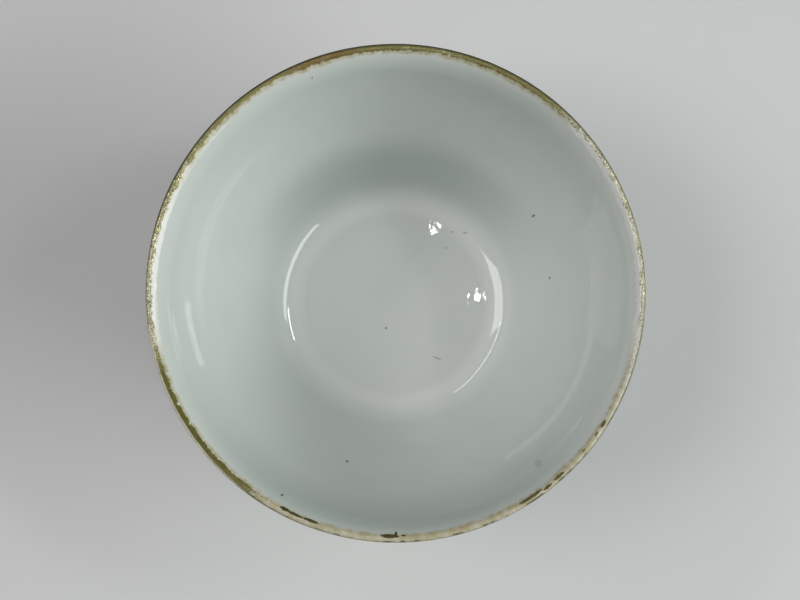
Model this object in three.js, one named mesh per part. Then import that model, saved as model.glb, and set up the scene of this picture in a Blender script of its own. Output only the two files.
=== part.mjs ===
// A thrown porcelain cup with rounded sides, an everted lip and a turned foot ring.
// It is one solid of revolution about Z. Millimetres, +Z up, origin on the axis in the
// plane that the foot stands on.
import * as THREE from "three";

// Overall form
const RIM_DIAMETER = 95; // across the outermost edge of the lip
const HEIGHT = 50; // from the standing plane to the top of the lip

// Lip and neck
const LIP_THICKNESS = 1.5; // of the rounded edge
const LIP_SLOPE = 42; // degrees above horizontal that the lip runs out at
const LIP_FLARE = 4; // that the lip's edge stands out past the inside of the neck
const NECK_DEPTH = 5.5; // below the top of the lip, where the wall is steepest
const NECK_SLOPE = 79; // degrees above horizontal
const NECK_THICKNESS = 1.8; // of the wall there

// Floor and well
const FLOOR_THICKNESS = 3.2; // between the inside floor and the foot's hollow
const WELL_DIAMETER = 51; // inside, the ring where the flat floor has turned up
const WELL_FILLET_WIDTH = 5; // from the end of the flat floor out to that ring
const WELL_SLOPE = 41; // degrees above horizontal at the ring

// Foot ring
const FOOT_DIAMETER = 41; // across its outside, where it stands
const FOOT_TAPER = 0.6; // that its outside leans out by, up to the belly
const FOOT_RIM_WIDTH = 2.6; // of the ring, at its bevels' top
const FOOT_RIM_BEVEL = 0.5; // on both edges of the standing face
const FOOT_HOLLOW_HEIGHT = 5.6; // from the standing plane to the underside of the floor
const FOOT_HOLLOW_FILLET = 1.2; // inside the ring, under the floor
const FOOT_NECK_FILLET = 0.9; // outside the ring, under the belly

// Fineness of the faces, and how far a sweep keeps to the slopes of its ends
const TURNS = 80; // faces round the axis
const LIP_STEPS = 6; // along the lip's rounded edge
const FLARE_STEPS = 5; // from the neck to the lip
const WALL_STEPS = 10; // from the well to the neck
const WELL_STEPS = 4; // from the flat floor to the well's ring
const FILLET_STEPS = 3; // along each fillet of the foot
const SWEEP_HOLD = 1 / 3; // of the distance between its ends
const QUARTER_TURN = 90; // degrees

const { degToRad: radians, lerp, smoothstep } = THREE.MathUtils;
const point = (x, y) => new THREE.Vector2(x, y);
const heading = (degrees) =>
  point(Math.cos(radians(degrees)), Math.sin(radians(degrees)));

// A curve between two points that leaves and arrives at the given slopes.
function sweep(from, fromSlope, to, toSlope) {
  const reach = from.distanceTo(to) * SWEEP_HOLD;
  return new THREE.CubicBezierCurve(
    from,
    from.clone().addScaledVector(heading(fromSlope), reach),
    to.clone().addScaledVector(heading(toSlope), -reach),
    to,
  );
}

// A fillet that rounds the corner between two points.
function fillet(from, corner, to) {
  return new THREE.QuadraticBezierCurve(from, corner, to).getPoints(FILLET_STEPS);
}

// The inside surface from the flat floor to the lip, as points with their normals and
// the wall's thickness there. The wall thins fast above the well and evenly at the lip.
function insideSurface() {
  const floorHeight = FOOT_HOLLOW_HEIGHT + FLOOR_THICKNESS;
  const wellRise = WELL_FILLET_WIDTH * Math.tan(radians(WELL_SLOPE) / 2);
  const flat = point(WELL_DIAMETER / 2 - WELL_FILLET_WIDTH, floorHeight);
  const well = point(WELL_DIAMETER / 2, floorHeight + wellRise);
  const neck = point(RIM_DIAMETER / 2 - LIP_FLARE, HEIGHT - NECK_DEPTH);
  const lip = onLipEdge(LIP_SLOPE + QUARTER_TURN);
  const stretches = [
    {
      curve: sweep(flat, 0, well, WELL_SLOPE),
      steps: WELL_STEPS,
      thickness: () => FLOOR_THICKNESS,
    },
    {
      curve: sweep(well, WELL_SLOPE, neck, NECK_SLOPE),
      steps: WALL_STEPS,
      thickness: (along) => lerp(FLOOR_THICKNESS, NECK_THICKNESS, Math.sin((along * Math.PI) / 2)),
    },
    {
      curve: sweep(neck, NECK_SLOPE, lip, LIP_SLOPE),
      steps: FLARE_STEPS,
      thickness: (along) => lerp(NECK_THICKNESS, LIP_THICKNESS, smoothstep(along, 0, 1)),
    },
  ];
  return stretches.flatMap(({ curve, steps, thickness }, stretch) => {
    const stations = [];
    for (let i = stretch ? 1 : 0; i <= steps; i++) {
      const tangent = curve.getTangent(i / steps);
      stations.push({
        at: curve.getPoint(i / steps),
        normal: point(-tangent.y, tangent.x),
        thickness: thickness(i / steps),
      });
    }
    return stations;
  });
}

// The outside surface from a starting radius to the lip, a wall's thickness off the
// inside. Under the flat floor it is level with the foot's hollow.
function outsideSurface(stations, startRadius) {
  const all = stations.map(({ at, normal, thickness }) =>
    at.clone().addScaledVector(normal, -thickness),
  );
  all.unshift(point(0, FOOT_HOLLOW_HEIGHT));
  const next = all.findIndex((p) => p.x > startRadius);
  const before = all[next - 1];
  const share = (startRadius - before.x) / (all[next].x - before.x);
  return [before.clone().lerp(all[next], share), ...all.slice(next)];
}

// The point on the lip's rounded edge whose normal has the given slope.
function onLipEdge(slope) {
  const radius = LIP_THICKNESS / 2;
  return point(RIM_DIAMETER / 2 - radius, HEIGHT - radius).addScaledVector(heading(slope), radius);
}

// The lip's rounded edge, from the outside surface over to the inside.
function lipEdge() {
  const edge = [];
  for (let i = 1; i < LIP_STEPS; i++) {
    edge.push(onLipEdge(LIP_SLOPE + QUARTER_TURN * ((2 * i) / LIP_STEPS - 1)));
  }
  return edge;
}

// The foot ring, from the middle of its hollow round its standing face up to the belly.
function footRing([belly, afterBelly]) {
  const inner = FOOT_DIAMETER / 2 - FOOT_RIM_WIDTH;
  const outer = FOOT_DIAMETER / 2;
  const hollow = FOOT_HOLLOW_HEIGHT;
  const rise = ((afterBelly.y - belly.y) / (afterBelly.x - belly.x)) * FOOT_NECK_FILLET;
  const corner = point(belly.x - FOOT_NECK_FILLET, belly.y - rise);
  return [
    point(0, hollow),
    ...fillet(
      point(inner - FOOT_HOLLOW_FILLET, hollow),
      point(inner, hollow),
      point(inner, hollow - FOOT_HOLLOW_FILLET),
    ),
    point(inner, FOOT_RIM_BEVEL),
    point(inner + FOOT_RIM_BEVEL, 0),
    point(outer - FOOT_RIM_BEVEL, 0),
    point(outer, FOOT_RIM_BEVEL),
    ...fillet(point(corner.x, corner.y - FOOT_NECK_FILLET), corner, belly).slice(0, -1),
  ];
}

function cupProfile() {
  const inside = insideSurface();
  const footTop = FOOT_DIAMETER / 2 + FOOT_TAPER;
  const outside = outsideSurface(inside, footTop + FOOT_NECK_FILLET);
  return [
    ...footRing(outside),
    ...outside,
    ...lipEdge(),
    ...inside.map(({ at }) => at).reverse(),
    point(0, inside[0].at.y),
  ];
}

function porcelainCup() {
  const geometry = new THREE.LatheGeometry(cupProfile(), TURNS);
  geometry.rotateX(Math.PI / 2); // from three.js's turning axis, Y, to the cup's, Z
  const glaze = new THREE.MeshStandardMaterial({
    color: 0xd3dcd4,
    roughness: 0.08,
    metalness: 0,
  });
  const mesh = new THREE.Mesh(geometry, glaze);
  mesh.name = "porcelain_cup";
  return mesh;
}

const cup = new THREE.Group();
cup.add(porcelainCup());

export default cup;
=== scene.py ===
"""The looks of a famille rose porcelain cup, seen from above its mouth.

Metres, +Z up, origin on the cup's axis in the plane that its foot stands on. A profile
point is (radius, height), and a profile runs from the middle of the base round the foot,
up the outside, over the lip and down the inside to the middle of the floor. Angles are in
degrees, anticlockwise from +X. Inside the materials lengths are in millimetres.
"""
import math

import bpy
import numpy as np
from mathutils import Matrix, Vector


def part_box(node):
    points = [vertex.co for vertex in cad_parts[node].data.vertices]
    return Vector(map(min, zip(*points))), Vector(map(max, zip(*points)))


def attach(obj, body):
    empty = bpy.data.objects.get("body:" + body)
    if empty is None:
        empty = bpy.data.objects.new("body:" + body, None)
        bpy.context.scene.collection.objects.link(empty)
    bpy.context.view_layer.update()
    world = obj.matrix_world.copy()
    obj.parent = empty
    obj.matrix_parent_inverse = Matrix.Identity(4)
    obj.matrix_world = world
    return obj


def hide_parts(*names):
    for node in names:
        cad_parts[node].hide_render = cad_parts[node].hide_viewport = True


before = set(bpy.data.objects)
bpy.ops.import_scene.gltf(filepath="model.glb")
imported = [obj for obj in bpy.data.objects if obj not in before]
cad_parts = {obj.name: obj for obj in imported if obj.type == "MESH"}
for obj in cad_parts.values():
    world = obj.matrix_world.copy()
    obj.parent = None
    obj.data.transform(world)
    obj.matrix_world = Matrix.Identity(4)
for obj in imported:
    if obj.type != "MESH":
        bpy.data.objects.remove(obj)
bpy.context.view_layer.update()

MILLIMETRES = 1000  # in a metre

# The cup's sizes, as the solid has them
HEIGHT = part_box("porcelain_cup")[1][2]
RIM_RADIUS = 0.0475
LIP_THICKNESS = 0.0015
LIP_SLOPE = 42  # degrees above horizontal, as all slopes here
LIP_FLARE = 0.004
NECK_DEPTH = 0.0055
NECK_SLOPE = 79
NECK_THICKNESS = 0.0018
FLOOR_THICKNESS = 0.0032
WELL_RADIUS = 0.0255
WELL_FILLET_WIDTH = 0.005
WELL_SLOPE = 41
FOOT_RADIUS = 0.0205
FOOT_TAPER = 0.0006
FOOT_RIM_WIDTH = 0.0026
FOOT_RIM_ROUNDING = 0.001
FOOT_HOLLOW_HEIGHT = 0.0056
FOOT_HOLLOW_FILLET = 0.0012
FOOT_NECK_FILLET = 0.0009
FLOOR_LEVEL = FOOT_HOLLOW_HEIGHT + FLOOR_THICKNESS
SWEEP_HOLD = 1 / 3

# Fineness of the mesh
TURNS = 240
FLOOR_STEPS = 12
WELL_STEPS = 14
WALL_STEPS = 44
FLARE_STEPS = 16
LIP_STEPS = 24
FOOT_STEPS = 8

# Where one finish gives way to the next, in millimetres
LIP_FINISH_INSIDE = 4.0  # from the lip's crown
LIP_FINISH_OUTSIDE = -3.2
BISCUIT_TOP = 1.3  # above the standing plane

# The camera, over the mouth and a little towards the viewer's side
CAMERA_FROM_RIM = Vector((-0.00287, -0.01719, 0.22656))
CAMERA_LENS = 54
PICTURE = (800, 600)
RIM_CENTRE_IN_PICTURE = (396.46, 289.52)

# The room: distance of the lights from the cup, and half the floor's side
LIGHT_DISTANCE = 1.2
FLOOR_HALF = 4.0

# Light of the surroundings: how steeply up the low part ends, as the sine of the slope,
# how bright it is, how much more so on the near side, and how bright the rest is
LOW_LIGHT_TOP = 0.35
LOW_LIGHT = 0.27
NEAR_LIGHT = 0.12
CEILING_LIGHT = 0.6
ROOM_LIGHT = 0.02

# Colours, as linear red, green and blue
PALE_FLOOR = (0.66, 0.66, 0.663)
PALE_ROOM = (0.97, 0.98, 1.0)
GLAZE = (0.635, 0.665, 0.638)
POOLED_GLAZE = (0.565, 0.625, 0.592)
# Paler glaze towards the lip's crown
PALE_LIP_GLAZE = (0.70, 0.71, 0.665)
# Painted light: the paler glaze of a caustic over the turn of the well and its floor
CAUSTIC_PALE_GLAZE = (0.77, 0.80, 0.775)
# Painted shade on the glaze inside, above the well and under the lip
SHADED_GLAZE = (0.46, 0.51, 0.48)
SPECK = (0.05, 0.05, 0.045)
GOLD = (0.93, 0.86, 0.57)
# Painted glint along the gilding's outer edge
GLINT_GOLD = (1.0, 0.95, 0.75)
# Tarnish and painted shade of the gilding
OLIVE_TARNISH_AND_SHADE = (0.25, 0.228, 0.082)
DEEP_OLIVE = (0.125, 0.115, 0.022)
BROWN_TARNISH = (0.22, 0.13, 0.04)
# Painted shade along the gilding's outer edge, and the dark tarnish of its flakes
DARK_TARNISH_AND_SHADE = (0.022, 0.016, 0.008)
RUBBED_LIP = (0.80, 0.79, 0.745)
# Soiling and painted shade of the bare lip
SOILED_AND_SHADED_LIP = (0.42, 0.365, 0.205)
BISCUIT = (0.72, 0.67, 0.57)
WORN_BISCUIT = (0.45, 0.38, 0.29)
KILN_FLUSH = (0.50, 0.27, 0.12)
IRON_RED = (0.42, 0.10, 0.045)
ROSE = (0.62, 0.10, 0.19)
DEEP_ROSE = (0.34, 0.025, 0.085)
ROSE_WHITE = (0.80, 0.62, 0.64)
LEMON = (0.78, 0.62, 0.16)
PALE_BLUE = (0.36, 0.47, 0.68)
DEEP_BLUE = (0.06, 0.10, 0.32)
LEAF_GREEN = (0.10, 0.33, 0.14)
LEAF_YELLOW_GREEN = (0.36, 0.48, 0.12)
LEAF_LINE = (0.02, 0.045, 0.03)
TWIG = (0.13, 0.085, 0.05)

# Round the lip: angle, how far the gilding reaches inside in millimetres, the share
# of it that is worn off, how dark what is left is from tarnish and painted shade, and
# how dark the painted shade along its outer edge is
GILDING = [
    (0, 0.35, 0.28, 0.12, 0.55), (20, 0.35, 0.28, 0.12, 0.60), (40, 0.45, 0.28, 0.18, 0.75),
    (47, 0.60, 0.30, 0.45, 0.90), (53, 0.75, 0.15, 0.75, 1.00), (60, 0.85, 0.10, 0.70, 1.00),
    (68, 0.80, 0.12, 0.80, 1.00), (78, 0.70, 0.22, 0.50, 0.95), (90, 0.90, 0.15, 0.55, 0.90),
    (104, 0.95, 0.05, 0.95, 0.90), (113, 0.95, 0.05, 0.90, 1.00), (120, 0.65, 0.15, 0.65, 1.00),
    (132, 0.65, 0.20, 0.60, 1.00), (150, 0.75, 0.20, 0.38, 0.90), (165, 0.72, 0.22, 0.18, 0.75),
    (178, 0.62, 0.28, 0.14, 0.35), (192, 0.60, 0.28, 0.25, 0.05), (202, 0.75, 0.12, 0.65, 0.0),
    (216, 0.85, 0.08, 0.72, 0.0), (232, 0.85, 0.12, 0.65, 0.10), (241, 0.60, 0.75, 0.60, 0.35),
    (256, 0.50, 0.95, 0.70, 0.90), (300, 0.50, 0.95, 0.70, 0.90), (325, 0.50, 0.70, 0.50, 0.80),
    (343, 0.45, 0.40, 0.36, 0.55),
]

# Flakes of gilding that stay where the rest has gone: angle, distance inside the
# crown, half length and half width, in millimetres
FLAKES = [
    (243.2, 0.72, 1.1, 0.40), (245.6, 0.62, 1.7, 0.30), (249.7, 0.66, 1.6, 0.34),
    (268.4, 0.62, 1.8, 0.42), (269.9, 1.05, 0.26, 0.75), (271.6, 0.75, 0.5, 0.20),
    (302.8, 0.35, 2.6, 0.34), (307.4, 0.05, 1.0, 0.30), (311.0, 0.25, 1.4, 0.28),
    (319.3, 0.30, 0.5, 0.12), (324.2, 0.30, 0.5, 0.20), (327.0, 0.30, 0.8, 0.34),
]


def heading(slope):
    """The unit direction of a slope in the profile's plane."""
    return np.array([math.cos(math.radians(slope)), math.sin(math.radians(slope))])


def point(radius, height):
    return np.array([radius, height])


def steps_between(steps):
    return np.linspace(0, 1, steps + 1)[:, None]


def sweep(start, start_slope, end, end_slope, steps):
    """A curve between two points that leaves and arrives at the given slopes."""
    reach = np.linalg.norm(end - start) * SWEEP_HOLD
    leaving = start + heading(start_slope) * reach
    arriving = end - heading(end_slope) * reach
    t = steps_between(steps)
    near_start = (1 - t) ** 3 * start + 3 * (1 - t) ** 2 * t * leaving
    near_end = 3 * (1 - t) * t**2 * arriving + t**3 * end
    return near_start + near_end


def fillet(start, corner, end):
    """A curve that rounds the corner between two points."""
    t = steps_between(FOOT_STEPS)
    return (1 - t) ** 2 * start + 2 * (1 - t) * t * corner + t**2 * end


def joined(*runs):
    """One run from several that share their end points."""
    return np.concatenate([runs[0]] + [run[1:] for run in runs[1:]])


def left_normals(points):
    """Unit normals of a run of points, to its left."""
    along = np.gradient(points, axis=0)
    along /= np.linalg.norm(along, axis=1)[:, None]
    return np.stack([-along[:, 1], along[:, 0]], 1)


def on_lip_edge(slope):
    """The point on the lip's rounded edge whose normal has the given slope."""
    radius = LIP_THICKNESS / 2
    return point(RIM_RADIUS - radius, HEIGHT - radius) + heading(slope) * radius


def wall():
    """The inside and the outside of the wall, from the flat floor out to the lip."""
    rise = WELL_FILLET_WIDTH * math.tan(math.radians(WELL_SLOPE) / 2)
    flat = point(WELL_RADIUS - WELL_FILLET_WIDTH, FLOOR_LEVEL)
    well = point(WELL_RADIUS, FLOOR_LEVEL + rise)
    neck = point(RIM_RADIUS - LIP_FLARE, HEIGHT - NECK_DEPTH)
    inside = joined(
        sweep(flat, 0, well, WELL_SLOPE, WELL_STEPS),
        sweep(well, WELL_SLOPE, neck, NECK_SLOPE, WALL_STEPS),
        sweep(neck, NECK_SLOPE, on_lip_edge(LIP_SLOPE + 90), LIP_SLOPE, FLARE_STEPS),
    )
    along_wall = np.linspace(0, 1, WALL_STEPS + 1)
    along_flare = np.linspace(0, 1, FLARE_STEPS + 1)
    thinning = FLOOR_THICKNESS + (NECK_THICKNESS - FLOOR_THICKNESS) * np.sin(along_wall * math.pi / 2)
    ease = along_flare**2 * (3 - 2 * along_flare)
    thickness = joined(
        np.full(WELL_STEPS + 1, FLOOR_THICKNESS),
        thinning,
        NECK_THICKNESS + (LIP_THICKNESS - NECK_THICKNESS) * ease,
    )
    return inside, inside - left_normals(inside) * thickness[:, None]


def outside_from(radius, outside):
    """The part of the outside that lies beyond a radius."""
    first = int(np.argmax(outside[:, 0] > radius))
    before = outside[first - 1]
    share = (radius - before[0]) / (outside[first][0] - before[0])
    belly = before + (outside[first] - before) * share
    return np.concatenate([[belly], outside[first:]])


def foot(belly, slope):
    """The profile of the foot, from the middle of its hollow up to the belly."""
    inner = FOOT_RADIUS - FOOT_RIM_WIDTH
    hollow = FOOT_HOLLOW_HEIGHT
    rounding = FOOT_RIM_ROUNDING
    corner = belly - point(1, slope) * FOOT_NECK_FILLET
    ends = [
        (
            point(inner - FOOT_HOLLOW_FILLET, hollow),
            point(inner, hollow),
            point(inner, hollow - FOOT_HOLLOW_FILLET),
        ),
        (point(inner, rounding), point(inner, 0), point(inner + rounding, 0)),
        (point(FOOT_RADIUS - rounding, 0), point(FOOT_RADIUS, 0), point(FOOT_RADIUS, rounding)),
        (point(corner[0], corner[1] - FOOT_NECK_FILLET), corner, belly),
    ]
    run = [point(0, hollow)]
    for start, middle, end in ends:
        gap = start - run[-1]
        steps = max(1, round(np.linalg.norm(gap) * MILLIMETRES))
        straight = run[-1] + gap * steps_between(steps)
        run = list(joined(np.array(run), straight, fillet(start, middle, end)))
    return np.array(run)


def cup_profile():
    """The whole profile, from the middle of the base to the middle of the floor."""
    inside, outside = wall()
    start = FOOT_RADIUS + FOOT_TAPER + FOOT_NECK_FILLET
    outside = outside_from(start, np.concatenate([[point(0, FOOT_HOLLOW_HEIGHT)], outside]))
    rise, run = (outside[1] - outside[0])[::-1]
    lip = np.array([
        on_lip_edge(LIP_SLOPE + turn) for turn in np.linspace(-90, 90, LIP_STEPS + 1)
    ])
    floor = point(inside[0][0], FLOOR_LEVEL) * (1 - steps_between(FLOOR_STEPS))
    floor[:, 1] = FLOOR_LEVEL
    return joined(foot(outside[0], rise / run), outside, lip, inside[::-1], floor)


def crown_offsets(profile):
    """How far along the profile each point is from the lip's crown, in millimetres."""
    lengths = np.linalg.norm(np.diff(profile, axis=0), axis=1)
    along = np.concatenate([[0], np.cumsum(lengths)]) * MILLIMETRES
    return along - along[np.argmax(profile[:, 1])]


def lathe_faces(rows):
    """The faces between rows of points round the axis, closed by a point at each end."""
    base, top = rows * TURNS, rows * TURNS + 1
    faces = []
    for row in range(rows + 1):
        below = (row - 1) * TURNS
        above = row * TURNS
        for i in range(TURNS):
            j = (i + 1) % TURNS
            if row == 0:
                faces.append((base, above + j, above + i))
            elif row == rows:
                faces.append((top, below + i, below + j))
            else:
                faces.append((below + i, below + j, above + j, above + i))
    return faces


def lathe(name, profile, finish_of):
    """A closed mesh turned from a profile whose ends lie on the axis.

    finish_of gives the number of the material on each step of the profile.
    """
    angle = np.arange(TURNS) * 2 * math.pi / TURNS
    ring = np.stack([np.cos(angle), np.sin(angle), np.ones(TURNS)], 1)

    def turned(run, base, top):
        body = np.concatenate([ring * (x, x, y) for x, y in run[1:-1]])
        return np.concatenate([body, [base, top]])

    points = turned(profile, (0, 0, profile[0][1]), (0, 0, profile[-1][1]))
    normals = turned(-left_normals(profile), (0, 0, -1), (0, 0, 1))
    rows = len(profile) - 2
    finishes = np.repeat([finish_of(step) for step in range(rows + 1)], TURNS)
    mesh = bpy.data.meshes.new(name)
    mesh.from_pydata(points.tolist(), [], lathe_faces(rows))
    mesh.polygons.foreach_set("use_smooth", [True] * len(mesh.polygons))
    mesh.polygons.foreach_set("material_index", finishes.tolist())
    mesh.normals_split_custom_set_from_vertices(normals.tolist())
    offsets = crown_offsets(profile)
    offset = mesh.attributes.new("crown_offset", "FLOAT", "POINT")
    offset.data.foreach_set("value", np.append(np.repeat(offsets[1:-1], TURNS), offsets[[0, -1]]))
    obj = bpy.data.objects.new(name, mesh)
    bpy.context.scene.collection.objects.link(obj)
    return obj


class Term:
    """A number or colour worked out by shader nodes, so that formulas read as arithmetic."""

    def __init__(self, socket):
        self.socket = socket

    def do(self, operation, *others):
        node = self.socket.id_data.nodes.new("ShaderNodeMath")
        node.operation = operation
        for socket, value in zip(node.inputs, (self, *others)):
            put(socket, value)
        return Term(node.outputs[0])

    def __add__(self, other):
        return self.do("ADD", other)

    def __sub__(self, other):
        return self.do("SUBTRACT", other)

    def __mul__(self, other):
        return self.do("MULTIPLY", other)

    def __truediv__(self, other):
        return self.do("DIVIDE", other)

    def __pow__(self, other):
        return self.do("POWER", other)

    def __neg__(self):
        return self * -1

    def __abs__(self):
        return self.do("ABSOLUTE")

    def without(self):
        """What is left of one, where this is a share."""
        return -self + 1

    def wrapped(self, half_range):
        return self.do("WRAP", half_range, -half_range)

    def between(self, low, high):
        """A smooth share that is 0 up to low and 1 from high, or the other way round."""
        node = self.socket.id_data.nodes.new("ShaderNodeMapRange")
        node.interpolation_type = "SMOOTHSTEP"
        limits = (high, low, 1, 0) if low > high else (low, high, 0, 1)
        for socket, value in zip(node.inputs, (self, *limits)):
            put(socket, value)
        return Term(node.outputs[0])


def put(socket, value):
    """Gives a socket a plain value, or links it to the nodes that work one out."""
    if isinstance(value, Term):
        socket.id_data.links.new(value.socket, socket)
    elif isinstance(value, tuple) and socket.type == "RGBA":
        socket.default_value = (*value, 1)
    else:
        socket.default_value = value


def blend(share, first, second):
    """A colour that goes from the first to the second as a share goes from 0 to 1."""
    node = share.socket.id_data.nodes.new("ShaderNodeMix")
    node.data_type = "RGBA"
    put(node.inputs["Factor"], share)
    colours = [socket for socket in node.inputs if socket.type == "RGBA"]
    put(colours[0], first)
    put(colours[1], second)
    return Term(next(socket for socket in node.outputs if socket.type == "RGBA"))


class Surface:
    """The places on the cup that its materials are worked out from, in millimetres."""

    def __init__(self, name):
        self.material = bpy.data.materials.new(name)
        self.material.use_nodes = True
        self.tree = self.material.node_tree
        self.shader = self.tree.nodes["Principled BSDF"]
        coordinates = self.tree.nodes.new("ShaderNodeTexCoord")
        scaled = self.tree.nodes.new("ShaderNodeVectorMath")
        scaled.operation = "SCALE"
        scaled.inputs["Scale"].default_value = MILLIMETRES
        put(scaled.inputs[0], Term(coordinates.outputs["Object"]))
        self.place = Term(scaled.outputs[0])
        split = self.tree.nodes.new("ShaderNodeSeparateXYZ")
        put(split.inputs[0], self.place)
        self.x, self.y, self.z = (Term(socket) for socket in split.outputs)
        self.radius = (self.x * self.x + self.y * self.y).do("SQRT")
        self.angle = self.y.do("ARCTAN2", self.x) * math.degrees(1)
        attribute = self.tree.nodes.new("ShaderNodeAttribute")
        attribute.attribute_name = "crown_offset"
        self.offset = Term(attribute.outputs["Fac"])

    def noise(self, size, detail=2, shift=0.0, roughness=0.5):
        """Soft random change from 0 to 1, about 0.5, with features of about the size."""
        moved = self.tree.nodes.new("ShaderNodeVectorMath")
        put(moved.inputs[0], self.place)
        moved.inputs[1].default_value = (shift * 131, shift * 57, 0)
        node = self.tree.nodes.new("ShaderNodeTexNoise")
        put(node.inputs["Vector"], Term(moved.outputs[0]))
        node.inputs["Scale"].default_value = 1 / size
        node.inputs["Detail"].default_value = detail
        node.inputs["Roughness"].default_value = roughness
        return Term(node.outputs[0])

    def grains(self, size, radius, share):
        """Round grains: a share of the cells of the size hold one of the radius."""
        node = self.tree.nodes.new("ShaderNodeTexVoronoi")
        put(node.inputs["Vector"], self.place)
        node.inputs["Scale"].default_value = 1 / size
        split = self.tree.nodes.new("ShaderNodeSeparateColor")
        put(split.inputs[0], Term(node.outputs["Color"]))
        chosen = Term(split.outputs[0]).do("LESS_THAN", share)
        uneven = Term(split.outputs[1]) * radius + radius * 0.4
        near = (Term(node.outputs["Distance"]) * size) / uneven
        return near.between(1.0, 0.6) * chosen

    def spot(self, x, y, long, wide, turn):
        """A soft spot at a place seen from above, turned by an angle."""
        cos, sin = math.cos(math.radians(turn)), math.sin(math.radians(turn))
        dx, dy = self.x - x, self.y - y
        along = (dx * cos + dy * sin) / long
        across = (dy * cos - dx * sin) / wide
        return (along * along + across * across).between(1.4, 0.5)

    def relief(self, height):
        """Gives the shader the small relief of a height in millimetres."""
        bump = self.tree.nodes.new("ShaderNodeBump")
        bump.inputs["Distance"].default_value = 1 / MILLIMETRES
        put(bump.inputs["Height"], height)
        put(self.shader.inputs["Normal"], Term(bump.outputs[0]))

    def finish(self, colour, roughness, metallic=0.0):
        put(self.shader.inputs["Base Color"], colour)
        put(self.shader.inputs["Roughness"], roughness)
        put(self.shader.inputs["Metallic"], metallic)
        return self.material


# Marks in the glaze inside, as seen from above: x, y, half length, half width in
# millimetres, the angle of the long side, and how dark it is
MARKS = [
    (29.7, 18.0, 0.34, 0.24, 30, 0.75),
    (33.3, 4.8, 0.30, 0.18, 80, 0.70),
    (-1.8, -5.5, 0.30, 0.26, 0, 0.55),
    (-10.0, -34.1, 0.40, 0.20, -20, 0.70),
    (-21.6, -38.8, 0.24, 0.18, 30, 0.90),
    (-16.3, 41.3, 0.22, 0.16, 60, 0.40),
    (27.6, -33.2, 0.80, 0.50, 40, 0.22),
    (13.0, 16.1, 0.45, 0.22, 10, 0.30),
    (15.9, 15.9, 0.60, 0.26, 0, 0.30),
    (11.6, 12.5, 0.32, 0.24, 0, 0.30),
    (9.6, -12.2, 1.00, 0.18, -22, 0.45),
]


# Unevenness of the glaze, in millimetres: how wide each kind is, and how high
WAVE_WIDTH, WAVE_HEIGHT = 14, 0.05
RIPPLE_WIDTH, RIPPLE_HEIGHT = 3.5, 0.005
PEEL_WIDTH, PEEL_HEIGHT = 0.6, 0.0014
RING_WIDTH, RING_HEIGHT = 2.1, 0.0006
RING_WANDER = 8  # how much the waves bend the rings, in radians


def glaze_relief(surface, ring_place):
    """Waviness, orange peel and turning rings of the glaze, in millimetres."""
    waves = surface.noise(WAVE_WIDTH, 0)
    ripples = surface.noise(RIPPLE_WIDTH, 0, 3)
    peel = surface.noise(PEEL_WIDTH, 0, 7)
    rings = (ring_place * (2 * math.pi / RING_WIDTH) + waves * RING_WANDER).do("SINE")
    return waves * WAVE_HEIGHT + ripples * RIPPLE_HEIGHT + peel * PEEL_HEIGHT + rings * RING_HEIGHT


def glaze_colour(surface, pooled):
    """The glaze's tint, a little cloudy and greener where it is pooled."""
    cloudy = surface.noise(11, 2, 1).between(0.25, 0.75) * 0.35
    return blend((cloudy + pooled).do("MINIMUM", 1), GLAZE, POOLED_GLAZE)


FRESH_GLOSS = 0.012  # roughness of the glaze as fired
HANDLED_GLOSS = 0.03  # what handling adds to it in places


def glaze_roughness(surface):
    """Gloss that is a little dulled by use and handling."""
    handled = surface.noise(7, 2, 2, 0.65).between(0.45, 0.8)
    return handled * HANDLED_GLOSS + FRESH_GLOSS


def marked(surface, colour):
    """A colour with the glaze's marks in their places."""
    for x, y, long, wide, turn, darkness in MARKS:
        colour = blend(surface.spot(x, y, long, wide, turn) * darkness, colour, SPECK)
    return colour


# Where the glaze inside is painted paler with light or darker with shade, as radii in millimetres
WELL_RING = WELL_RADIUS * MILLIMETRES
CAUSTIC_RING, CAUSTIC_RING_REACH = WELL_RING - 3.0, 5.2
SHADE_BAND, SHADE_BAND_REACH = WELL_RING + 4.5, 6.5
LIP_SHADE_START, LIP_SHADE_FULL = 39.5, 45.5


def shaded_at_the_lip(surface, colour):
    """A colour with painted shade round the inside of the lip, most of all on one side."""
    near_side = (-surface.y / surface.radius).between(0.5, 1.0)
    lip_shade = surface.radius.between(LIP_SHADE_START, LIP_SHADE_FULL) * (near_side * 0.7 + 0.3)
    return blend(lip_shade, colour, SHADED_GLAZE)


def inside_glaze():
    """The glaze of the inside.

    It has a painted caustic, pale over the turn of the well and over its floor, painted shade
    above the well on the far side, and painted shade under the lip, most of all on the near one.
    """
    surface = Surface("inside_glaze")
    # Painted light: a caustic's pale ring over the turn of the well, and a paler floor within it
    painted_caustic = abs(surface.radius - CAUSTIC_RING).between(CAUSTIC_RING_REACH, 0.0) * 0.85
    floor = surface.radius.between(WELL_RING, WELL_RING - 6.0) * 0.3
    colour = blend(painted_caustic.do("MAXIMUM", floor), glaze_colour(surface, 0.0), CAUSTIC_PALE_GLAZE)
    # Painted shade: a darker band above the well on the far side
    painted_shade_band = abs(surface.radius - SHADE_BAND).between(SHADE_BAND_REACH, 1.0)
    far_side = (surface.y / surface.radius).between(0.2, 1.0)
    colour = blend(painted_shade_band * far_side * 0.9, colour, SHADED_GLAZE)
    colour = shaded_at_the_lip(surface, colour)
    surface.relief(glaze_relief(surface, surface.radius))
    return surface.finish(marked(surface, colour), glaze_roughness(surface))


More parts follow.
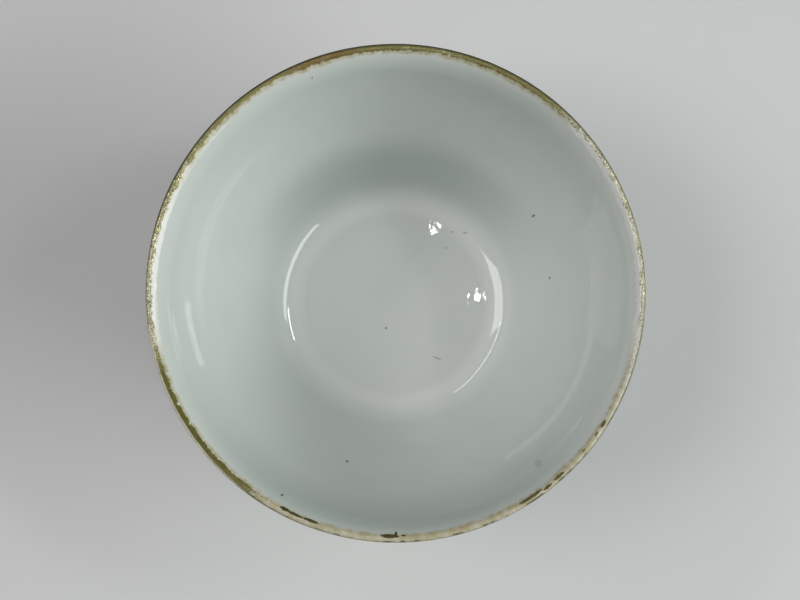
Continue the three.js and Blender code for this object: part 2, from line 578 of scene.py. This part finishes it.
def gilding_round_the_lip(surface):
    """The gilding's reach, wear, tarnish and painted shade, and painted edge shade, by angle."""
    node = surface.tree.nodes.new("ShaderNodeValToRGB")
    put(node.inputs[0], surface.angle.do("WRAP", 360, 0) / 360)
    ramp = node.color_ramp
    stops = GILDING + [(360, *GILDING[0][1:])]
    while len(ramp.elements) < len(stops):
        ramp.elements.new(0.5)
    for element, (angle, *_) in zip(ramp.elements, stops):
        element.position = angle / 360
    for element, (_, reach, wear, tarnish, edge) in zip(ramp.elements, stops):
        element.color = (reach / 2, wear, tarnish, edge)
    split = surface.tree.nodes.new("ShaderNodeSeparateColor")
    put(split.inputs[0], Term(node.outputs[0]))
    reach, wear, tarnish = (Term(socket) for socket in split.outputs)
    return reach * 2, wear, tarnish, Term(node.outputs["Alpha"])


def kept_flakes(surface, ragged):
    """The flakes of gilding that stay on the worn part of the lip."""
    lip = (RIM_RADIUS - LIP_THICKNESS / 2) * MILLIMETRES
    kept = None
    for angle, inside, long, wide in FLAKES:
        along = (surface.angle - angle).wrapped(180.0) * (math.radians(1) * lip / long)
        across = (surface.offset - inside) / wide
        flake = (along * along + across * across + ragged * 2.6).between(1.25, 0.75)
        kept = flake if kept is None else kept.do("MAXIMUM", flake)
    return kept


class Gilding:
    """What is left of the gilding on the lip.

    ragged, patches and broad are unevenness about 0, from fine to coarse. within is how
    far a place lies from the gilding's inner edge, in millimetres towards its outer one.
    Two shares give lines along the outer edge: a dark one, painted shade, and on the olive
    side a pale one, a painted glint.
    """

    def __init__(self, surface):
        self.surface = surface
        self.offset = surface.offset
        reach, self.wear, self.tarnish, self.outer_edge_shade = gilding_round_the_lip(surface)
        self.ragged = surface.noise(0.42, 3, 11.0, 0.7) - 0.5
        self.patches = surface.noise(1.5, 3, 16.0, 0.6) - 0.5
        self.broad = surface.noise(4.5, 1, 12.0) - 0.5
        inner_edge = reach + self.ragged * 1.1 + self.patches * 1.3 + self.broad * 0.5
        self.within = inner_edge - self.offset
        self.flakes = kept_flakes(surface, self.ragged)
        worn_through = self.wear.between(0.5, 0.9)
        left_dark = worn_through.without() + (self.patches + self.broad).between(0.04, 0.12)
        left_dark = left_dark.do("MINIMUM", 1)
        # Painted shade: a dark line along the outer edge, as strong as the table gives
        self.painted_edge_shade = (-self.offset).between(0.14, 0.44) * self.outer_edge_shade * left_dark
        self.olive_side = self.outer_edge_shade.between(0.2, 0.0)
        # Painted glint: a pale line along the outer edge on the olive side
        self.painted_glint = abs(self.offset + 0.5).between(0.32, 0.12) * self.olive_side
        self.painted_glint = self.painted_glint * (self.patches * 1.2 + 0.85)

    def kept(self):
        """The share that is still gilt: the crown wears first, the underside last."""
        outer_end = (self.offset + 2.05 + self.broad * 0.6).between(0.0, 0.12)
        covered = self.within.between(-0.05, 0.22) * outer_end
        rub = self.surface.noise(0.34, 4, 13.0, 0.75)
        crown = abs(self.offset - 0.1).between(0.8, 0.15)
        under_edge = (-self.offset).between(0.42, 0.72)
        worn = (self.wear * 0.55 + crown * self.wear * 0.35) * (under_edge * -0.75 + 1)
        kept = covered * (rub - worn - 0.14).between(0.0, 0.16)
        return kept.do("MAXIMUM", self.flakes)

    def bare(self):
        """The colour of the lip beside the gilding, rubbed pale or soiled, with painted shade."""
        surface = self.surface
        glaze = shaded_at_the_lip(surface, glaze_colour(surface, 0.0))
        # The glaze grows paler towards the crown
        paler_to_crown = self.offset.between(LIP_FINISH_INSIDE, 1.0) * 0.2
        glaze = marked(surface, blend(paler_to_crown, glaze, PALE_LIP_GLAZE))
        clean = self.tarnish.between(0.5, 0.2)
        rubbed = (self.within + clean * 0.5 + 0.9).between(0.0, 0.7)
        rubbed = rubbed * (self.offset + 2.2).between(0.0, 0.3)
        # Soiling and painted shade, darker where the gilding is darker
        soiled_and_shaded = self.tarnish.between(0.2, 0.5) * (self.patches * 1.6 + 0.85)
        bare = blend(rubbed * 0.9, glaze, blend(soiled_and_shaded, RUBBED_LIP, SOILED_AND_SHADED_LIP))
        # Painted shade along the outer edge, on the bare lip
        return blend(self.painted_edge_shade * 0.85, bare, DARK_TARNISH_AND_SHADE)

    def metal(self):
        """The colour of the gilding, with painted shade and a painted glint, and how dull it is."""
        inner_rim = self.within.between(0.55, 0.1) * (self.patches + 0.35) * self.tarnish
        speckle = self.surface.noise(0.30, 2, 15.0, 0.75).between(0.56, 0.44) * 0.5
        dull = self.tarnish + self.patches * 0.9 + self.ragged * 0.7 + inner_rim
        dull = dull + speckle * self.tarnish.without()
        # The olive, and the deeper olive on one side, are partly tarnish and partly painted shade
        metal = blend(dull.between(0.1, 0.6), GOLD, OLIVE_TARNISH_AND_SHADE)
        metal = blend(self.olive_side * self.tarnish.between(0.3, 0.6), metal, DEEP_OLIVE)
        brown = self.tarnish + self.patches * 0.6 + self.ragged * 0.4 + inner_rim * 0.4
        brown = brown.between(0.7, 1.05) * self.outer_edge_shade.between(0.2, 0.6) * 0.9
        metal = blend(brown, metal, BROWN_TARNISH)
        # Painted glint along the outer edge
        metal = blend(self.painted_glint, metal, GLINT_GOLD)
        # Painted shade along the outer edge, and flakes darkened by tarnish and painted shade
        metal = blend(self.painted_edge_shade.do("MAXIMUM", self.flakes * 0.55), metal, DARK_TARNISH_AND_SHADE)
        return metal, dull.do("MAXIMUM", self.painted_glint).do("MAXIMUM", 0).do("MINIMUM", 1)


def gilded_lip():
    """The lip with what is left of its gilding."""
    surface = Surface("gilded_lip")
    gilding = Gilding(surface)
    kept = gilding.kept()
    metal, dull = gilding.metal()
    grain = surface.noise(0.26, 2, 14.0, 0.7)
    surface.relief(glaze_relief(surface, surface.radius) + kept * (grain * 0.13 + 0.004))
    roughness = kept * (grain * 0.20 + 0.13) + kept.without() * glaze_roughness(surface)
    # The painted shade on the outer edge is also rougher and less metallic
    roughness = (roughness + gilding.painted_edge_shade * 0.4).do("MINIMUM", 1)
    shine = (dull * 0.5 + gilding.painted_edge_shade * 0.5 + 0.05).without().do("MAXIMUM", 0)
    return surface.finish(blend(kept, gilding.bare(), metal), roughness, kept * shine)


LINE = 0.11  # half the width of a drawn line
SOFT = 0.05  # half the width of a brush stroke's edge


class Brush:
    """A node group that lays one painted shape over a painting.

    draw gets the distances from the shape's place along and across its direction, the
    unevenness of the wash and the shape's own settings, and gives a mask and a colour.
    The place across comes out as it went in, with the lesser of the cover and 0 added,
    which is always 0. So the shapes are worked out one after the other, and the renderer
    holds few values at a time.
    """

    def __init__(self, name, draw, numbers, colours=()):
        self.tree = bpy.data.node_groups.new(name, "ShaderNodeTree")
        places = ("Cover", "Across", "Up", "Wash", "X", "Y", "Turn")
        sockets = {"Ground": "Color"}
        sockets.update({number: "Float" for number in (*places, *numbers)})
        sockets.update({colour: "Color" for colour in colours})
        for label, kind in sockets.items():
            self.tree.interface.new_socket(label, in_out="INPUT", socket_type="NodeSocket" + kind)
        self.tree.interface.new_socket("Colour", in_out="OUTPUT", socket_type="NodeSocketColor")
        for label in ("Cover", "Across"):
            self.tree.interface.new_socket(label, in_out="OUTPUT", socket_type="NodeSocketFloat")
        entry = self.tree.nodes.new("NodeGroupInput")
        given = {label: Term(entry.outputs[label]) for label in sockets}
        turn = given["Turn"] * math.radians(1)
        cos, sin = turn.do("COSINE"), turn.do("SINE")
        dx, dy = given["Across"] - given["X"], given["Up"] - given["Y"]
        settings = [given[label] for label in (*numbers, *colours)]
        mask, colour = draw(dx * cos + dy * sin, dy * cos - dx * sin, given["Wash"], *settings)
        leave = self.tree.nodes.new("NodeGroupOutput")
        put(leave.inputs["Colour"], blend(mask, given["Ground"], colour))
        cover = given["Cover"].do("MAXIMUM", mask)
        put(leave.inputs["Cover"], cover)
        put(leave.inputs["Across"], given["Across"] + cover.do("MINIMUM", 0))


def filled(inside):
    """The mask of a shape, from the distance inside its edge."""
    return inside.between(-SOFT, SOFT)


def drawn(distance):
    """The mask of a drawn line, from the distance to its middle."""
    return abs(distance).between(LINE + SOFT, LINE - SOFT)


def paint_stem(along, across, wash, length, bend, width):
    """A tapering stroke that bends sideways by a share of its length."""
    share = along / length
    bent = across - share * share.without() * bend * length * 4
    half = (share * -0.45 + 1) * width * 0.5
    ends = along.do("MINIMUM", length - along)
    return filled((half - abs(bent)).do("MINIMUM", ends)), blend(wash, TWIG, LEAF_LINE)


def paint_leaf(along, across, wash, length, width, bend):
    """A pointed leaf in two greens, with a midrib and side veins."""
    share = along / length
    arch = (share * share.without() * 4).do("MAXIMUM", 0)
    bent = across - arch * bend * length
    inside = arch ** 0.8 * width * 0.5 - abs(bent) - SOFT
    green = blend(bent.between(-0.2, 0.2) * (wash * 0.5 + 0.55), LEAF_GREEN, LEAF_YELLOW_GREEN)
    veins = (along - abs(bent) * 1.1).do("PINGPONG", 0.85).between(0.16, 0.06) * 0.6
    lines = veins.do("MAXIMUM", drawn(bent))
    lines = lines.do("MAXIMUM", inside.between(0.24, 0.1) * 0.8)
    return filled(inside), blend(lines * 0.8, green, LEAF_LINE)


def paint_petals(along, across, wash, radius, count, height, dark, middle, pale):
    """A ring of round petals, dark at their roots and pale at their tips."""
    flat = across / height
    away = (along * along + flat * flat).do("SQRT")
    angle = flat.do("ARCTAN2", along)
    lobe = abs((angle * count * 0.5).do("COSINE"))
    edge = (lobe * 0.24 + 0.78) * radius
    inside = edge - away
    share = away / edge
    tint = share + (wash - 0.5) * 0.35 + lobe * 0.16
    tone = blend(tint.between(0.35, 0.78), dark, middle)
    tone = blend(tint.between(0.72, 1.08), tone, pale)
    strokes = (angle * count * 4).do("COSINE").between(0.55, 1.0) * share.between(1.0, 0.6) * 0.35
    tone = blend(strokes, tone, dark)
    between_petals = (lobe * away * 2 / count).between(0.22, 0.08) * share.between(0.3, 0.6)
    lines = between_petals.do("MAXIMUM", inside.between(0.26, 0.1)) * 0.75
    return filled(inside), blend(lines, tone, dark)


def paint_dot(along, across, wash, radius, colour):
    """A round dot."""
    away = (along * along + across * across).do("SQRT")
    return filled(radius - away), colour


class Painting:
    """Enamel painted on the outside, in a field of millimetres around and upwards.

    Its middle is at an angle and a distance under the lip's crown, and it comes back on
    the other side of the cup. A hand's unsteadiness bends it a little everywhere.
    """

    def __init__(self, surface, brushes, angle, depth, ground, cover):
        self.tree = surface.tree
        self.brushes = brushes
        around = (surface.angle - angle).wrapped(90.0) * math.radians(1) * surface.radius
        self.across = around + self.unsteady(surface, 21)
        self.up = surface.offset + depth + self.unsteady(surface, 23)
        self.wash = surface.noise(1.6, 3, 25)
        self.ground = ground
        self.cover = cover

    @staticmethod
    def unsteady(surface, shift):
        slow = (surface.noise(6, 2, shift) - 0.5) * 2.0
        return slow + (surface.noise(1.1, 1, shift + 1) - 0.5) * 0.25

    def lay(self, brush, x, y, turn, *settings):
        """Paints one shape at a place of the field, turned by an angle."""
        node = self.tree.nodes.new("ShaderNodeGroup")
        node.node_tree = self.brushes[brush].tree
        values = (self.ground, self.cover, self.across, self.up, self.wash, x, y, turn, *settings)
        for socket, value in zip(node.inputs, values):
            put(socket, value)
        self.ground, self.cover = Term(node.outputs["Colour"]), Term(node.outputs["Cover"])
        self.across = Term(node.outputs["Across"])

    def leaf(self, x, y, turn, length, width, bend=0.1):
        self.lay("leaf", x, y, turn, length, width, bend)

    def ring(self, x, y, radius, count, turn, tones, height=1.0):
        self.lay("petals", x, y, turn, radius, count, height, *tones)

    def peony(self, x, y, radius, tones):
        """Three rings of petals, each higher on the flower, round a yellow heart."""
        self.ring(x, y, radius, 8, 10, tones, 0.88)
        self.ring(x + 0.04 * radius, y + 0.10 * radius, radius * 0.74, 7, 50, tones, 0.84)
        self.ring(x, y + 0.16 * radius, radius * 0.48, 5, 20, tones, 0.82)
        self.lay("dot", x, y + 0.18 * radius, 0, radius * 0.17, LEMON)

    def blossom(self, x, y, radius, turn, tones):
        """A small open flower of five petals."""
        self.ring(x, y, radius, 5, turn, tones)
        self.lay("dot", x, y, 0, radius * 0.26, LEMON)

    def bud(self, x, y, turn, size, tones):
        """A closed bud between two short leaves."""
        ahead = heading(turn) * size
        self.ring(x + ahead[0] * 0.55, y + ahead[1] * 0.55, size * 0.62, 3, turn, tones)
        for side in (24, -24):
            root = (x - ahead[0] * 0.25, y - ahead[1] * 0.25)
            self.leaf(*root, turn + side, size * 1.25, size * 0.5, math.copysign(0.12, side))


ROSE_TONES = (DEEP_ROSE, ROSE, ROSE_WHITE)
BLUE_TONES = (DEEP_BLUE, PALE_BLUE, ROSE_WHITE)


def along_stem(stem, share):
    """The place in the field at a share of a stem's length."""
    x, y, turn, length, bend, width = stem
    across = 4 * share * (1 - share) * bend * length
    return point(x, y) + heading(turn) * share * length + heading(turn + 90) * across


def grow(field, stems, leaves):
    """Paints stems, and leaves that spring from them.

    A leaf is the number of its stem, the share along it, its direction, length, width and
    bend.
    """
    for stem in stems:
        field.lay("stem", *stem)
    for number, share, *leaf in leaves:
        field.leaf(*along_stem(stems[number], share), *leaf)


def large_spray(field):
    """A peony spray: stems, then leaves, then buds and flowers over them."""
    stems = [
        (-35, -9, 14, 34, -0.08, 0.9), (-4, -4, -10, 24, 0.12, 0.8), (17, -6, 44, 22, 0.10, 0.6),
        (-19.5, -8.2, 107, 16, -0.14, 0.6), (2, 2, 60, 15, -0.10, 0.6), (-29, -9, 140, 12, 0.12, 0.5),
    ]
    grow(field, stems, [
        (0, 0.02, 196, 9, 3.4, -0.1), (0, 0.22, 252, 8, 3.2, 0.1), (0, 0.50, 296, 11, 4.4, -0.12),
        (0, 0.78, 268, 10, 4.2, 0.1), (1, 0.30, 300, 12, 4.8, -0.12), (1, 0.62, 246, 9, 3.6, 0.1),
        (3, 0.30, 160, 11, 4.2, 0.12), (3, 0.62, 62, 10, 4.0, -0.1), (5, 0.45, 88, 7, 2.8, -0.1),
        (5, 0.98, 150, 8, 3.0, 0.1), (4, 0.55, 118, 9, 3.6, 0.12), (4, 0.66, 14, 12, 4.6, 0.14),
        (2, 0.30, 350, 11, 4.2, -0.1), (2, 0.50, 102, 10, 3.8, 0.12), (2, 0.76, 12, 8, 3.2, -0.1),
        (1, 0.98, 322, 9, 3.4, -0.1),
    ])
    field.leaf(-12.0, 4.0, 148, 12, 4.8, 0.12)
    field.leaf(-9.0, -6.0, 222, 11, 4.4, -0.12)
    field.bud(*along_stem(stems[2], 0.96), 48, 4.2, ROSE_TONES)
    field.bud(*along_stem(stems[3], 0.96), 96, 3.8, ROSE_TONES)
    field.bud(*along_stem(stems[4], 0.96), 70, 3.2, BLUE_TONES)
    field.blossom(18.5, -5.0, 5.6, 30, BLUE_TONES)
    field.blossom(-29.5, -7.5, 3.6, 10, (IRON_RED, LEMON, ROSE_WHITE))
    field.peony(-3.5, 0.5, 9.8, ROSE_TONES)


def small_sprig(field):
    """A short stem with one blossom and a bud."""
    stems = [(-9, -9, 48, 20, 0.12, 0.6), (-4.5, -3.0, 96, 9, -0.1, 0.45)]
    grow(field, stems, [
        (0, 0.06, 196, 8, 3.0, 0.1), (0, 0.30, 306, 9, 3.6, -0.12), (0, 0.52, 142, 8, 3.0, 0.1),
        (0, 0.66, 342, 9, 3.4, -0.1), (1, 0.55, 158, 6, 2.4, 0.1),
    ])
    field.bud(*along_stem(stems[1], 0.94), 92, 3.0, ROSE_TONES)
    field.blossom(4.6, 5.8, 4.6, 0, ROSE_TONES)


# Where the painting is: the angle of each field's middle, its depth under the lip's
# crown and the height of the line round the foot, in degrees and millimetres
SPRAY_ANGLE, SPRAY_DEPTH = 272.0, 25.0
SPRIG_ANGLE, SPRIG_DEPTH = 6.0, 23.0
FOOT_LINE_HEIGHT = 3.1


def painted_outside():
    """The outside: glaze with two peony sprays and two sprigs between them."""
    surface = Surface("painted_outside")
    foot_corner = (surface.z - FOOT_HOLLOW_HEIGHT * MILLIMETRES).between(2.5, 0.0)
    glaze = glaze_colour(surface, foot_corner * 0.6)
    brushes = {
        "stem": Brush("painted_stem", paint_stem, ("Length", "Bend", "Width")),
        "leaf": Brush("painted_leaf", paint_leaf, ("Length", "Width", "Bend")),
        "petals": Brush(
            "painted_petals", paint_petals, ("Radius", "Count", "Height"), ("Dark", "Middle", "Pale")
        ),
        "dot": Brush("painted_dot", paint_dot, ("Radius",), ("Paint",)),
    }
    glaze = blend(surface.grains(5.5, 0.10, 0.10) * 0.45, glaze, SPECK)
    spray = Painting(surface, brushes, SPRAY_ANGLE, SPRAY_DEPTH, glaze, 0.0)
    large_spray(spray)
    sprig = Painting(surface, brushes, SPRIG_ANGLE, SPRIG_DEPTH, spray.ground, spray.cover)
    small_sprig(sprig)
    line_place = surface.z - FOOT_LINE_HEIGHT + (surface.noise(8, 1, 31.0) - 0.5) * 0.25
    worn_line = surface.noise(0.8, 3, 32.0, 0.7).between(0.33, 0.45)
    foot_line = abs(line_place).between(0.30, 0.20) * worn_line
    colour = blend(foot_line, sprig.ground, IRON_RED)
    brushed = surface.noise(0.5, 2, 33.0) * 0.006
    surface.relief(glaze_relief(surface, surface.z) + sprig.cover * brushed)
    roughness = glaze_roughness(surface) + sprig.cover * 0.10
    return surface.finish(colour, roughness)


def biscuit_foot():
    """The bare standing edge, with a flush of iron where the glaze stops."""
    surface = Surface("biscuit_foot")
    wander = (surface.noise(3.0, 3, 41.0) - 0.5) * 0.9
    glazed = (surface.z + wander).between(0.85, 0.95)
    flush = (surface.z + wander).between(0.45, 0.85) * 0.8
    grit = surface.grains(1.4, 0.12, 0.12)
    worn = surface.noise(1.8, 4, 42.0).between(0.3, 0.75)
    bare = blend(worn * 0.35, BISCUIT, WORN_BISCUIT)
    bare = blend(grit * 0.7, bare, SPECK)
    bare = blend(flush, bare, KILN_FLUSH)
    colour = blend(glazed, bare, glaze_colour(surface, 0.35))
    grain = surface.noise(0.12, 2, 43.0) * 0.02
    surface.relief(glaze_relief(surface, surface.z) + glazed.without() * grain + glazed * 0.06)
    roughness = glazed.without() * 0.65 + glaze_roughness(surface)
    return surface.finish(colour, roughness)


def base_glaze():
    """The glazed underside within the foot, pooled in its corner."""
    surface = Surface("base_glaze")
    foot_inside = (FOOT_RADIUS - FOOT_RIM_WIDTH) * MILLIMETRES
    corner = (surface.radius - foot_inside).between(-3.5, 0.0)
    colour = glaze_colour(surface, corner * 0.6)
    colour = blend(surface.grains(2.4, 0.16, 0.12) * 0.6, colour, SPECK)
    surface.relief(glaze_relief(surface, surface.radius))
    return surface.finish(colour, glaze_roughness(surface))


def porcelain_cup():
    """The whole cup, with one material to each stretch of its surface."""
    profile = cup_profile()
    offsets = crown_offsets(profile)
    finishes = [inside_glaze, gilded_lip, painted_outside, biscuit_foot, base_glaze]

    def finish_of(step):
        radius, height = (profile[step] + profile[step + 1]) / 2
        if offsets[step] > LIP_FINISH_INSIDE:
            return finishes.index(inside_glaze)
        if offsets[step] > LIP_FINISH_OUTSIDE:
            return finishes.index(gilded_lip)
        if height * MILLIMETRES < BISCUIT_TOP:
            return finishes.index(biscuit_foot)
        inside_foot = radius < FOOT_RADIUS - FOOT_RIM_WIDTH / 2
        return finishes.index(base_glaze if inside_foot else painted_outside)

    cup = lathe("fine_porcelain_cup", profile, finish_of)
    for make in finishes:
        cup.data.materials.append(make())
    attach(cup, "root")
    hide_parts("porcelain_cup")


def add_camera():
    """The camera that sees the middle of the rim where the picture has it."""
    rim = Vector((0, 0, HEIGHT))
    camera = bpy.data.objects.new("camera", bpy.data.cameras.new("camera"))
    bpy.context.scene.collection.objects.link(camera)
    camera.data.lens = CAMERA_LENS
    camera.data.clip_start = 0.01
    camera.location = rim + CAMERA_FROM_RIM
    pixels = CAMERA_LENS / camera.data.sensor_width * PICTURE[0]
    forward = (rim - camera.location).normalized()
    right = forward.cross(Vector((0, 1, 0))).normalized()
    up = right.cross(forward)
    across = (RIM_CENTRE_IN_PICTURE[0] - PICTURE[0] / 2) / pixels
    down = (RIM_CENTRE_IN_PICTURE[1] - PICTURE[1] / 2) / pixels
    back = -(forward - right * across + up * down).normalized()
    right = Vector((0, 1, 0)).cross(back).normalized()
    camera.rotation_euler = Matrix((right, back.cross(right), back)).transposed().to_euler()
    bpy.context.scene.camera = camera


def panel_light(name, azimuth, elevation, spread, brightness, colour=(1, 1, 1)):
    """A soft panel that spans the given degrees across and upwards, seen from the cup."""
    data = bpy.data.lights.new(name, "AREA")
    data.shape = "RECTANGLE"
    size, size_y = (2 * LIGHT_DISTANCE * math.tan(math.radians(angle / 2)) for angle in spread)
    data.size, data.size_y = size, size_y
    data.energy = brightness * math.pi * data.size * data.size_y
    data.color = colour
    light = bpy.data.objects.new(name, data)
    bpy.context.scene.collection.objects.link(light)
    a, e = math.radians(azimuth), math.radians(elevation)
    way = Vector((math.cos(a) * math.cos(e), math.sin(a) * math.cos(e), math.sin(e)))
    light.location = Vector((0, 0, HEIGHT / 2)) + way * LIGHT_DISTANCE
    side = Vector((-math.sin(a), math.cos(a), 0))
    light.rotation_euler = Matrix((side, way.cross(side), way)).transposed().to_euler()


def add_lights():
    """A window on each side and one behind, paler walls on the right, and three lamps."""
    panel_light("right_window", -14, 33, (46, 19), 5.9, (0.94, 1.0, 0.965))
    panel_light("right_wall", -12, 16, (50, 16), 2.7, (0.96, 1.0, 0.975))
    panel_light("low_window", -18, 3, (46, 4), 5.0)
    panel_light("left_window", 179, 51, (25, 28), 4.8, (1.0, 0.985, 0.965))
    panel_light("back_window", 143, 42, (34, 4), 6.0)
    panel_light("ceiling_lamp", 38, 83, (0.35, 0.6), 70)
    panel_light("right_lamp", 17, 46, (12, 4), 18)
    panel_light("small_lamp", 69, 81.5, (0.15, 0.2), 80)


def add_floor():
    """A plain pale floor, which the cup stands on."""
    half = FLOOR_HALF
    mesh = bpy.data.meshes.new("floor")
    corners = [(-half, -half, 0), (half, -half, 0), (half, half, 0), (-half, half, 0)]
    mesh.from_pydata(corners, [], [(0, 1, 2, 3)])
    floor = bpy.data.objects.new("floor", mesh)
    bpy.context.scene.collection.objects.link(floor)
    pale = bpy.data.materials.new("pale_floor")
    pale.use_nodes = True
    shader = pale.node_tree.nodes["Principled BSDF"]
    put(shader.inputs["Base Color"], PALE_FLOOR)
    shader.inputs["Roughness"].default_value = 0.8
    mesh.materials.append(pale)


def add_world():
    """Pale surroundings low down, palest on the near side, a soft ceiling and little else."""
    world = bpy.data.worlds.new("soft_room")
    bpy.context.scene.world = world
    world.use_nodes = True
    tree = world.node_tree
    coordinates = tree.nodes.new("ShaderNodeTexCoord")
    split = tree.nodes.new("ShaderNodeSeparateXYZ")
    put(split.inputs[0], Term(coordinates.outputs["Generated"]))
    height = Term(split.outputs["Z"])
    low = height.between(LOW_LIGHT_TOP, 0.0)
    overhead = height.do("MAXIMUM", 0) ** 8
    back = tree.nodes["Background"]
    put(back.inputs["Color"], PALE_ROOM)
    low_light = Term(split.outputs["Y"]) * -NEAR_LIGHT + LOW_LIGHT
    put(back.inputs["Strength"], low * low_light + overhead * CEILING_LIGHT + ROOM_LIGHT)


scene = bpy.context.scene
scene.view_settings.view_transform = "Standard"
add_camera()
porcelain_cup()
add_floor()
add_world()
add_lights()
